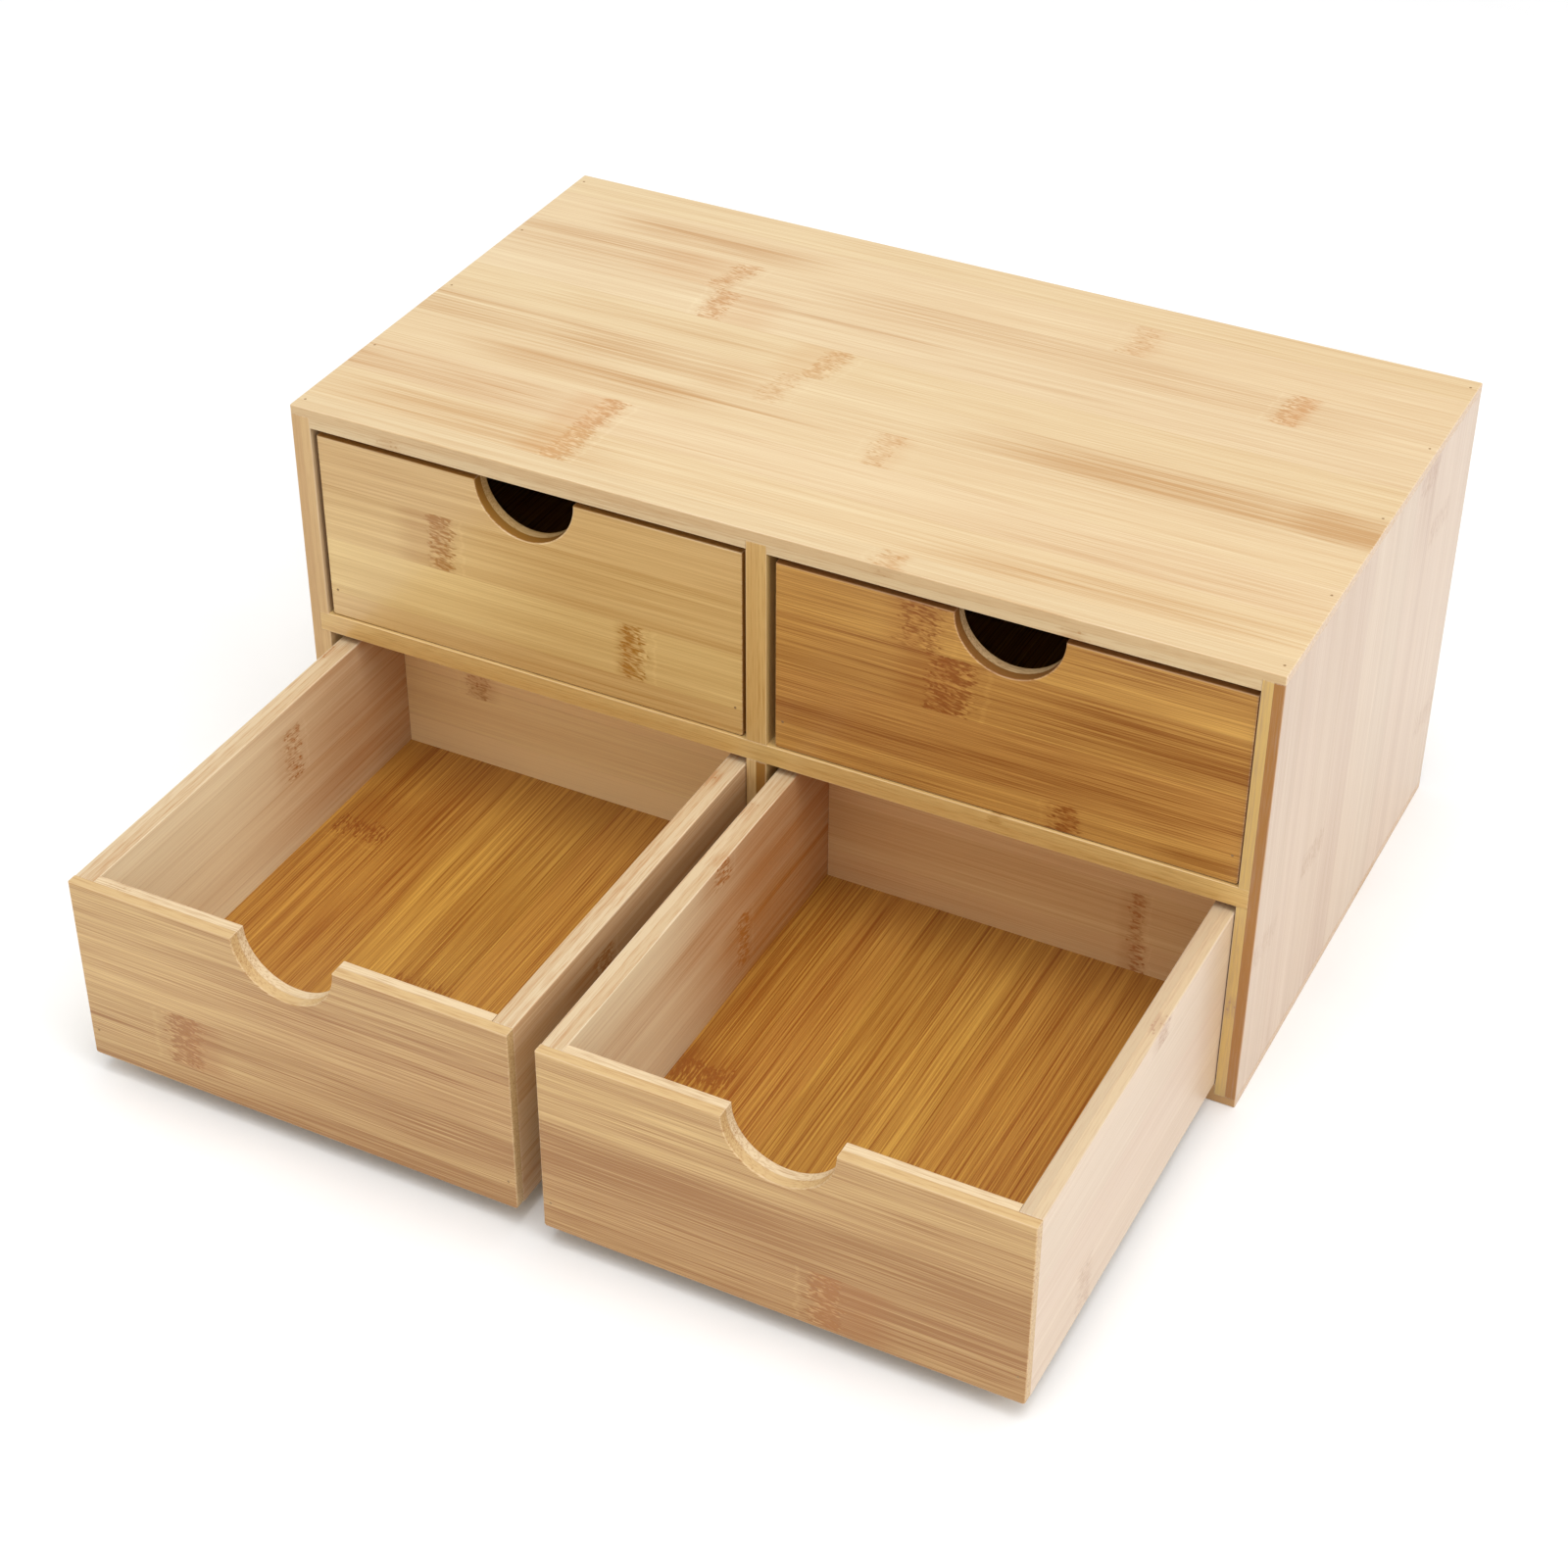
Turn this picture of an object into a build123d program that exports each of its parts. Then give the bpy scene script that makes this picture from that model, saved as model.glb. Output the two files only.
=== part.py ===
from build123d import *
import os

# Desk organizer: a case of bamboo boards with four drawers, two over two.
# Millimetres. Left is -X, the front is -Y, up is +Z. The origin is the centre of the case's underside.

# The case
CASE_W = 330.0
CASE_D = 186.0
CASE_H = 160.5
BOARD = 7.0             # every board is laminated from two plies
PLY = BOARD / 2
LIP = 3.0               # what the top and bottom boards keep over the ends of the sides
DIVIDER_DADO = 3.0      # how deep the dividers stand in the top and bottom boards

# The drawers
DRAWER_W = 151.4
DRAWER_H = 67.0
DRAWER_L = 177.9
RECESS = 0.8            # how far a closed drawer's face stands behind the case's front edges
GAP_BELOW = 0.25        # between a drawer and the board that it slides on
NOTCH_R = 17.5          # half-round finger notch, centred on the top edge of the drawer's front
CORNER_R = 1.0          # bottom corners of the drawer's front
FLOOR_T = 4.0
FLOOR_RISE = 8.0        # underside of the drawer's floor above the drawer's underside
FLOOR_GROOVE = 3.0      # how deep the floor stands in the boards round it

# Sanded edges
EASED = 0.5             # radius of an edge that a hand meets
HAIRLINE = 0.2          # radius of an edge that meets another board

# The brads, headless and punched just under the surface
BRAD_R = 0.45
BRAD_L = 15.0
BRAD_SUNK = 0.1
DRILL_START = 0.5       # the drill starts this far outside the board
BRADS_IN = 2.6          # from the end of a board to the row of brads through it
TOP_BRADS_Y = (-88.0, -48.0, -1.0, 45.0, 88.0)
BOTTOM_BRADS_Y = (-85.0, -43.0, 2.0, 44.0, 86.0)
FRONT_BRADS_Z = (10.0,)
REAR_BRADS_Z = (14.0, 53.0)

# Each drawer's column and row, how far it is pulled out, and how far it stands off its bay's middle
DRAWERS = {
    "upper_left": (-1, 1, 0.0, 0.0),
    "upper_right": (1, 1, 0.0, 1.1),
    "lower_left": (-1, 0, 145.0, 1.3),
    "lower_right": (1, 0, 147.0, 1.3),
}

# The case's planes
HALF_W = CASE_W / 2
HALF_D = CASE_D / 2
SIDE_X = HALF_W - BOARD                     # inner face of a side
BACK_Y = HALF_D - BOARD                     # inner face of the back
SHELF_Z = (CASE_H - BOARD) / 2              # underside of the shelf
TOP_Z = CASE_H - BOARD                      # underside of the top
BAY_X = (SIDE_X + PLY) / 2                  # middle of a bay

# A drawer's planes, in its own frame: its face at y = 0, its underside at z = 0, its middle at x = 0
DRAWER_X = DRAWER_W / 2
WALL_X = DRAWER_X - BOARD                   # inner face of a side
REAR_Y = DRAWER_L - BOARD                   # inner face of the back
FLOOR_TOP = FLOOR_RISE + FLOOR_T

NEAR = 1e-4             # two places closer than this are one


def block(x0, x1, y0, y1, z0, z1):
    """A sharp-edged block between two opposite corners."""
    middle = Pos((x0 + x1) / 2, (y0 + y1) / 2, (z0 + z1) / 2)
    return middle * Box(x1 - x0, y1 - y0, z1 - z0)


def side_block(side, inner_x, outer_x, y0, y1, z0, z1):
    """A block that runs outwards on one side: -1 is the left, 1 is the right."""
    x0, x1 = sorted((side * inner_x, side * outer_x))
    return block(x0, x1, y0, y1, z0, z1)


def sanded(blank, met_by_hand):
    """Round every edge of a block, and more where a hand meets it."""
    fine_middles = [edge.center() for edge in blank.edges() if not met_by_hand(edge)]
    eased_edges = [edge for edge in blank.edges() if met_by_hand(edge)]
    shape = fillet(eased_edges, EASED) if eased_edges else blank
    fine_edges = [
        edge for edge in shape.edges()
        if any(edge.distance_to(middle) < NEAR for middle in fine_middles)
    ]
    return fillet(fine_edges, HAIRLINE)


def on_case_corner(edge):
    """Whether two of the case's outer faces meet at this edge."""
    box = edge.bounding_box()
    outer_faces = (
        box.size.X < NEAR and abs(abs(box.min.X) - HALF_W) < NEAR,
        box.size.Y < NEAR and abs(abs(box.min.Y) - HALF_D) < NEAR,
        box.size.Z < NEAR and min(box.min.Z, CASE_H - box.max.Z) < NEAR,
    )
    return sum(outer_faces) == 2


def on_drawer_rim(edge):
    """Whether this edge is on the upper rim of a drawer."""
    return edge.bounding_box().min.Z > DRAWER_H - NEAR


def brad(face_point, inward):
    """A brad driven inward from a point on a board's face."""
    axis = Plane(origin=face_point, z_dir=inward)
    return axis * Pos(0, 0, BRAD_SUNK + BRAD_L / 2) * Cylinder(BRAD_R, BRAD_L)


def brads(places):
    """All the brads of one group, as separate solids."""
    return Compound(children=[brad(point, inward) for point, inward in places])


def drilled(shape, places):
    """A board with each brad's hole, which is open from the face down to the brad."""
    depth = DRILL_START + BRAD_SUNK + BRAD_L
    for face_point, inward in places:
        axis = Plane(origin=face_point, z_dir=inward)
        shape -= axis * Pos(0, 0, depth / 2 - DRILL_START) * Cylinder(BRAD_R, depth)
    return shape


def rows(x, ys, z, inward):
    """Brad places in two rows from front to back, on the left and on the right."""
    return [((side * x, y, z), inward) for side in (-1, 1) for y in ys]


TOP_BRADS = rows(HALF_W - BRADS_IN, TOP_BRADS_Y, CASE_H, (0, 0, -1))
BOTTOM_BRADS = rows(HALF_W - BRADS_IN, BOTTOM_BRADS_Y, 0, (0, 0, 1))
FRONT_BRADS = [((side * (DRAWER_X - BRADS_IN), 0, z), (0, 1, 0)) for side in (-1, 1) for z in FRONT_BRADS_Z]
REAR_BRADS = [((side * DRAWER_X, DRAWER_L - PLY, z), (-side, 0, 0)) for side in (-1, 1) for z in REAR_BRADS_Z]


def case_top():
    """Full width over the sides, with a rabbet at each end and a dado for the divider."""
    shape = sanded(block(-HALF_W, HALF_W, -HALF_D, HALF_D, TOP_Z, CASE_H), on_case_corner)
    for side in (-1, 1):
        shape -= side_block(side, SIDE_X, HALF_W, -HALF_D, HALF_D, TOP_Z, CASE_H - LIP)
    shape -= block(-PLY, PLY, -HALF_D, BACK_Y, TOP_Z, TOP_Z + DIVIDER_DADO)
    return drilled(shape, TOP_BRADS)


def case_bottom():
    """The top board's mirror image."""
    shape = sanded(block(-HALF_W, HALF_W, -HALF_D, HALF_D, 0, BOARD), on_case_corner)
    for side in (-1, 1):
        shape -= side_block(side, SIDE_X, HALF_W, -HALF_D, HALF_D, LIP, BOARD)
    shape -= block(-PLY, PLY, -HALF_D, BACK_Y, BOARD - DIVIDER_DADO, BOARD)
    return drilled(shape, BOTTOM_BRADS)


def case_side(side):
    """A side, between the lips of the top and the bottom, with a dado for the shelf."""
    blank = side_block(side, SIDE_X, HALF_W, -HALF_D, HALF_D, LIP, CASE_H - LIP)
    shape = sanded(blank, on_case_corner)
    shape -= side_block(side, SIDE_X, SIDE_X + PLY, -HALF_D, BACK_Y, SHELF_Z, SHELF_Z + BOARD)
    return drilled(shape, TOP_BRADS + BOTTOM_BRADS)


def case_shelf():
    """The shelf between the rows, which stands one ply deep in both sides."""
    reach = SIDE_X + PLY
    return sanded(block(-reach, reach, -HALF_D, BACK_Y, SHELF_Z, SHELF_Z + BOARD), on_case_corner)


def case_divider(row):
    """The upright between two drawers: row 0 under the shelf, row 1 over it."""
    low = SHELF_Z + BOARD if row else BOARD - DIVIDER_DADO
    high = TOP_Z + DIVIDER_DADO if row else SHELF_Z
    return sanded(block(-PLY, PLY, -HALF_D, BACK_Y, low, high), on_case_corner)


def case_back():
    """The back, set in between the other boards. A drawer that is pushed home stops against it."""
    return sanded(block(-SIDE_X, SIDE_X, BACK_Y, HALF_D, BOARD, TOP_Z), on_case_corner)


def drawer_floor():
    """The floor, which stands in a groove of all four boards round it."""
    reach = WALL_X + FLOOR_GROOVE
    return block(-reach, reach, BOARD - FLOOR_GROOVE, REAR_Y + FLOOR_GROOVE, FLOOR_RISE, FLOOR_TOP)


def drawer_front():
    """The front, which laps over the ends of the sides by one ply and has the finger notch."""
    shape = block(-DRAWER_X, DRAWER_X, 0, BOARD, 0, DRAWER_H)
    bottom_corners = [edge for edge in shape.edges().filter_by(Axis.Y) if edge.center().Z < NEAR]
    shape = fillet(bottom_corners, CORNER_R)
    shape -= Pos(0, PLY, DRAWER_H) * Rot(90, 0, 0) * Cylinder(NOTCH_R, 2 * BOARD)
    shape = fillet([edge for edge in shape.edges() if edge.bounding_box().size.Y < NEAR], EASED)
    for side in (-1, 1):
        shape -= side_block(side, WALL_X, DRAWER_X, PLY, BOARD, 0, DRAWER_H)
    return drilled(shape - drawer_floor(), FRONT_BRADS)


def drawer_side(side):
    """A side, from the front's lap to the rear, with the floor's groove."""
    shape = sanded(side_block(side, WALL_X, DRAWER_X, PLY, DRAWER_L, 0, DRAWER_H), on_drawer_rim)
    groove_end = REAR_Y + FLOOR_GROOVE
    shape -= side_block(side, WALL_X, WALL_X + FLOOR_GROOVE, PLY, groove_end, FLOOR_RISE, FLOOR_TOP)
    return drilled(shape, FRONT_BRADS + REAR_BRADS)


def drawer_back():
    """The back, between the sides, with the floor's groove."""
    shape = sanded(block(-WALL_X, WALL_X, REAR_Y, DRAWER_L, 0, DRAWER_H), on_drawer_rim)
    return drilled(shape - drawer_floor(), REAR_BRADS)


def drawer_pieces():
    """The pieces of one drawer in its own frame, by the last part of their names."""
    return {
        "front": drawer_front(),
        "side_left": drawer_side(-1),
        "side_right": drawer_side(1),
        "back": drawer_back(),
        "floor": drawer_floor(),
        "brads": brads(FRONT_BRADS + REAR_BRADS),
    }


def drawer_place(column, row, pulled, shift):
    """Where a drawer's own frame is in the case."""
    base = SHELF_Z + BOARD if row else BOARD
    return Pos(column * BAY_X + shift, RECESS - HALF_D - pulled, base + GAP_BELOW)


def all_pieces():
    """Every piece of the organizer, by the name of its node."""
    pieces = {
        "case_top": case_top(),
        "case_bottom": case_bottom(),
        "case_side_left": case_side(-1),
        "case_side_right": case_side(1),
        "case_shelf": case_shelf(),
        "case_divider_upper": case_divider(1),
        "case_divider_lower": case_divider(0),
        "case_back": case_back(),
        "case_top_brads": brads(TOP_BRADS),
        "case_bottom_brads": brads(BOTTOM_BRADS),
    }
    for drawer, place in DRAWERS.items():
        for name, shape in drawer_pieces().items():
            pieces[f"{drawer}_{name}"] = drawer_place(*place) * shape
    return pieces


os.makedirs("parts", exist_ok=True)
for name, shape in all_pieces().items():
    export_step(shape, f"parts/{name}.step")
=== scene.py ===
import math

import bpy
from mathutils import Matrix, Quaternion, Vector


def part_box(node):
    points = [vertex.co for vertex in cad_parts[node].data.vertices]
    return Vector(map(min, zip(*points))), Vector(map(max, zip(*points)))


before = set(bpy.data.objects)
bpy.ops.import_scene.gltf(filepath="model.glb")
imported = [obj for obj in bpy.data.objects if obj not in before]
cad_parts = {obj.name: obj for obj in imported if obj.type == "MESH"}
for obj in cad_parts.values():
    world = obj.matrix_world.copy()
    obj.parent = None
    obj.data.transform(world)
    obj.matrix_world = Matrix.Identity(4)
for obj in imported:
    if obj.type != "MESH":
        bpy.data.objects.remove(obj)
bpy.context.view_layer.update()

# Bamboo desk organizer. Blender lengths are metres. The materials work in millimetres: the case's boards in
# the row frame, and a drawer's boards from the middle of its face's lower edge.

MM = 1000.0
DRAWERS = ("upper_left", "upper_right", "lower_left", "lower_right")

# The bamboo: strips side by side in two plies
STRIP = 20.3            # width of a strip
PLY = 3.5               # thickness of a ply
PLY_SHIFT = 9.7         # the inner ply's joints stand this far from the outer ply's
KNOT_SPACING = 230.0    # from one knot to the next along a strip
CHANCE_STAIN = -20.0    # how far, and which way, the stain of a knot at a chance place reaches
RIDGE_OFF = 7.6         # from a knot to the pale ridge beside it
PIT_LENGTH = 1.7        # from one pit in a knot to the next along the grain
PIT_WIDTH = 1.5         # and across it
FIBRE_BUNDLE = 0.7      # from one bundle of fibres to the next in end grain
NOTCH_R = 17.5          # the finger notch's radius

# How far from its middle, or from the board's edge, a mark has faded out, and how far off it is still full
BAND_FADE = (5.4, 3.4)
CORE_FADE = (6.0, 1.5)
RIDGE_FADE = (0.8, 0.2)
GLUE_FADE = (0.2, 0.02)
WORN_AND_HIGHLIT_FADE = (0.42, 0.1)
TINT_FADE = (STRIP / 2 + 0.15, STRIP / 2 - 0.15)

# The same in shares of a stain's reach, of half the length of a smudge or of a patch of painted shade, and of
# half its width
STAIN_FADE = (0.75, 0.1)
SMUDGE_AND_SHADE_ENDS = (1.0, 0.3)
SMUDGE_AND_SHADE_SIDES = (1.1, 0.6)

KNOT_WOBBLE = 5.0       # how far a knot wanders along the grain, and over which distance across it
KNOT_WANDER = 3.0
KNOT_TORN = 7.0         # how ragged a knot's rim is
SMUDGE_AND_SHADE_RAGGED = 0.8     # how much the veins bend the sides of a smudge or of a patch of painted shade, in shares of half its width
SMUDGE_GRAIN = 1.2      # how much grain a narrow smudge shows, in shares of its strength
FACING = (0.6, 0.85)    # how much a surface faces along an axis: not enough, and fully

# Steps that keep the noise of strips, plies and boards apart
PLY_NUMBERS = 31.0
BOARD_NUMBERS = 7.0
STRIP_ALONG = 43.7
STRIP_DOWN = 5.3
BOARD_ACROSS = 91.0
BOARD_WOBBLE = 3.0

# How much each mark adds to the darkness of the faces and of the sawn edges, to roughness, to height and to
# the share of the knots' colour
FACE_WEIGHTS = {"torn_shadowed": 0.6, "torn_bright": -0.55, "pits": 0.85, "ridge": -0.1}
EDGE_WEIGHTS = {"streak": 0.7, "fibre": 0.9, "fleck": 1.1, "dots": 0.3, "end": 0.12, "core": 0.4, "pits": 0.5}
ROUGH_WEIGHTS = {"fibre": 0.20, "streak": 0.15, "worn_and_highlit": 0.12, "sawn": 0.12, "band": 0.06}
HEIGHT_WEIGHTS = {
    "fibre": 0.8, "streak": 0.5, "line": -0.35, "glue": -0.5, "dots": -0.4, "pits": -1.0,
    "torn_shadowed": -0.7, "torn_bright": 0.5,
}
RED_WEIGHTS = {"core": 0.3, "stain": 0.2}
STAIN_DARK = 0.10       # darkness of a stain, and how much the streaks show in it
STAIN_STREAKS = 0.5
CORE_DARK = 0.17        # darkness of a knot's core, and how much its patches add
CORE_PATCHES = 0.34
EDGE_SHADE = 0.08       # darkness of a sawn edge without marks
HEADROOM = 0.25         # how far below 0 the darkness of a face may go
GLUE_SHARE = 0.2        # how much of a glue line's colour shows
WORN_AND_HIGHLIT_SHARE = 0.3        # how much of the edges' pale colour shows, which is wear and a painted highlight
PALER = 0.25            # how far that pale colour of the edges is from the bright colour to white

# The grain's layers, from the finest fibres to the broadest bands, and its thin dark lines
LAYERS = ("fibre", "streak", "vein", "broad", "line")

# The first seed of the drawers' boards, and from one drawer's first seed to the next's
DRAWER_SEED = 20
DRAWER_SEEDS = 6

# The camera
CAMERA_AT = (0.3556, -0.7794, 0.6411)
CAMERA_AZIMUTH = math.radians(26.74)
CAMERA_ELEVATION = math.radians(36.56)
CAMERA_ROLL = math.radians(0.29)
CAMERA_LENS = 70.62
SENSOR_WIDTH = 36.0

# The studio, and each lamp's name, its place, what it looks at, its size and its power
FLOOR_SIZE = 12.0
SURROUND = 0.55         # strength of the white surround
LAMPS = (
    ("overhead", (0.3, -0.4, 2.2), (0, -0.05, 0), 2.0, 37.0),
    ("right", (2.0, -0.5, 1.1), (0, 0, 0.05), 1.4, 16.0),
    ("front", (-0.6, -2.2, 1.0), (0, 0, 0.05), 1.4, 5.5),
    ("left", (-2.2, 0.6, 0.9), (0, 0, 0.05), 1.4, 6.0),
)


def colour(red, green, blue):
    return (red, green, blue, 1.0)


# Each look: the bright and dark ends of its colour and the colour of its knots; how strongly the grain's
# layers show; the colours of the sawn edges of its outer and inner ply; and its lacquer
LOOKS = {
    "straw": dict(
        bright=colour(0.71, 0.552, 0.335), dark=colour(0.50, 0.285, 0.12), knot=colour(0.58, 0.30, 0.12),
        layers=(0.9, 0.4, 0.2, 0.2, 0.09), plies=(colour(0.66, 0.47, 0.25), colour(0.70, 0.53, 0.30)),
        rough=0.42, coat=0.15, coat_rough=0.28),
    # The side look is painted light: its pale pinkish colour is the glare of the strong lamp at the right on
    # the faces turned to it
    "side": dict(
        bright=colour(0.63, 0.478, 0.34), dark=colour(0.44, 0.27, 0.17), knot=colour(0.50, 0.33, 0.22),
        layers=(0.4, 0.2, 0.15, 0.4, 0.03), plies=(colour(0.40, 0.18, 0.045), colour(0.66, 0.44, 0.15)),
        rough=0.38, coat=0.35, coat_rough=0.22),
    "gold": dict(
        bright=colour(0.76, 0.525, 0.215), dark=colour(0.40, 0.18, 0.018), knot=colour(0.42, 0.17, 0.03),
        layers=(0.7, 0.35, 0.2, 0.4, 0.075), plies=(colour(0.36, 0.165, 0.03), colour(0.74, 0.50, 0.22)),
        rough=0.38, coat=0.8, coat_rough=0.22),
    "tan": dict(
        bright=colour(0.625, 0.40, 0.16), dark=colour(0.33, 0.14, 0.033), knot=colour(0.40, 0.145, 0.03),
        layers=(1.6, 0.5, 0.3, 0.4, 0.12), plies=(colour(0.60, 0.41, 0.19), colour(0.70, 0.54, 0.33)),
        rough=0.40, coat=0.4, coat_rough=0.25),
    "brown": dict(
        bright=colour(0.62, 0.325, 0.08), dark=colour(0.27, 0.085, 0.010), knot=colour(0.32, 0.085, 0.008),
        layers=(1.5, 0.4, 0.2, 0.5, 0.12), plies=(colour(0.30, 0.13, 0.03), colour(0.76, 0.53, 0.27)),
        rough=0.40, coat=0.5, coat_rough=0.24),
    "wall": dict(
        bright=colour(0.80, 0.66, 0.43), dark=colour(0.38, 0.13, 0.012), knot=colour(0.46, 0.24, 0.10),
        layers=(0.45, 0.22, 0.2, 0.3, 0.045), plies=(colour(0.58, 0.43, 0.255), colour(0.62, 0.48, 0.30)),
        rough=0.46, coat=0.12, coat_rough=0.30),
    "panel": dict(
        bright=colour(0.86, 0.62, 0.32), dark=colour(0.50, 0.20, 0.06), knot=colour(0.44, 0.19, 0.06),
        layers=(0.6, 0.3, 0.2, 0.3, 0.06), plies=(colour(0.66, 0.48, 0.25), colour(0.70, 0.52, 0.28)),
        rough=0.46, coat=0.12, coat_rough=0.30),
    "amber": dict(
        bright=colour(0.54, 0.275, 0.052), dark=colour(0.27, 0.08, 0.008), knot=colour(0.26, 0.07, 0.01),
        layers=(2.0, 0.75, 0.35, 0.3, 0.27), plies=(colour(0.4, 0.2, 0.05), colour(0.4, 0.2, 0.05)),
        rough=0.36, coat=0.25, coat_rough=0.20),
}


class Shader:
    """One material's nodes. A value is a number, a colour or another node's output."""

    def __init__(self, name):
        self.material = bpy.data.materials.new(name)
        self.material.use_nodes = True
        self.tree = self.material.node_tree
        self.tree.nodes.clear()

    def node(self, kind, inputs=None, **settings):
        """A new node. inputs has its sockets by name or number, and settings its other properties."""
        made = self.tree.nodes.new("ShaderNode" + kind)
        for key, value in settings.items():
            setattr(made, key, value)
        for key, value in (inputs or {}).items():
            self.put(made.inputs[key], value)
        return made

    def put(self, socket, value):
        """Give a socket a value, or a link to another node's output."""
        if isinstance(value, bpy.types.NodeSocket):
            self.tree.links.new(value, socket)
        else:
            socket.default_value = value

    def math(self, operation, *values, clamp=False):
        made = self.node("Math", dict(enumerate(values)), operation=operation, use_clamp=clamp)
        return made.outputs[0]

    def add(self, *values):
        total = values[0]
        for value in values[1:]:
            total = self.math("ADD", total, value)
        return total

    def times(self, *values):
        total = values[0]
        for value in values[1:]:
            total = self.math("MULTIPLY", total, value)
        return total

    def apart(self, one, other):
        """How far two values are apart."""
        return self.math("ABSOLUTE", self.math("SUBTRACT", one, other))

    def clamped(self, value):
        """The value, kept between 0 and 1."""
        return self.math("MULTIPLY", value, 1.0, clamp=True)

    def steps(self, value, start, end):
        """0 where value is at start, 1 where it is at end, and smooth between them. start may be over end."""
        made = self.node("MapRange", {"Value": value}, interpolation_type="SMOOTHSTEP")
        flipped = start > end
        self.put(made.inputs["From Min"], min(start, end))
        self.put(made.inputs["From Max"], max(start, end))
        self.put(made.inputs["To Min"], 1.0 if flipped else 0.0)
        self.put(made.inputs["To Max"], 0.0 if flipped else 1.0)
        return made.outputs["Result"]

    def vector(self, x, y, z):
        return self.node("CombineXYZ", {0: x, 1: y, 2: z}).outputs[0]

    def noise(self, vector, detail, roughness=0.5):
        """Noise about 0, mostly between -0.5 and 0.5."""
        inputs = {"Vector": vector, "Scale": 1.0, "Detail": detail, "Roughness": roughness}
        return self.math("SUBTRACT", self.node("TexNoise", inputs).outputs["Fac"], 0.5)

    def speckle(self, scale, detail):
        """Noise between 0 and 1 that is alike in all directions."""
        at = self.node("TexCoord").outputs["Object"]
        return self.node("TexNoise", {"Vector": at, "Scale": scale, "Detail": detail}).outputs["Fac"]

    def mix_values(self, share, first, second):
        """first where share is 0, and second where it is 1. The node's sockets for numbers are 2 and 3."""
        made = self.node("Mix", {0: share, 2: first, 3: second})
        return made.outputs[0]

    def mix(self, share, first, second):
        """The same for colours, which have the sockets 6 and 7."""
        made = self.node("Mix", {"Factor": share, 6: first, 7: second}, data_type="RGBA")
        return made.outputs[2]

    def surfaced(self, inputs):
        """The material, with a principled surface."""
        surface = self.node("BsdfPrincipled", inputs)
        output = self.node("OutputMaterial")
        self.put(output.inputs["Surface"], surface.outputs[0])
        return self.material


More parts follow.
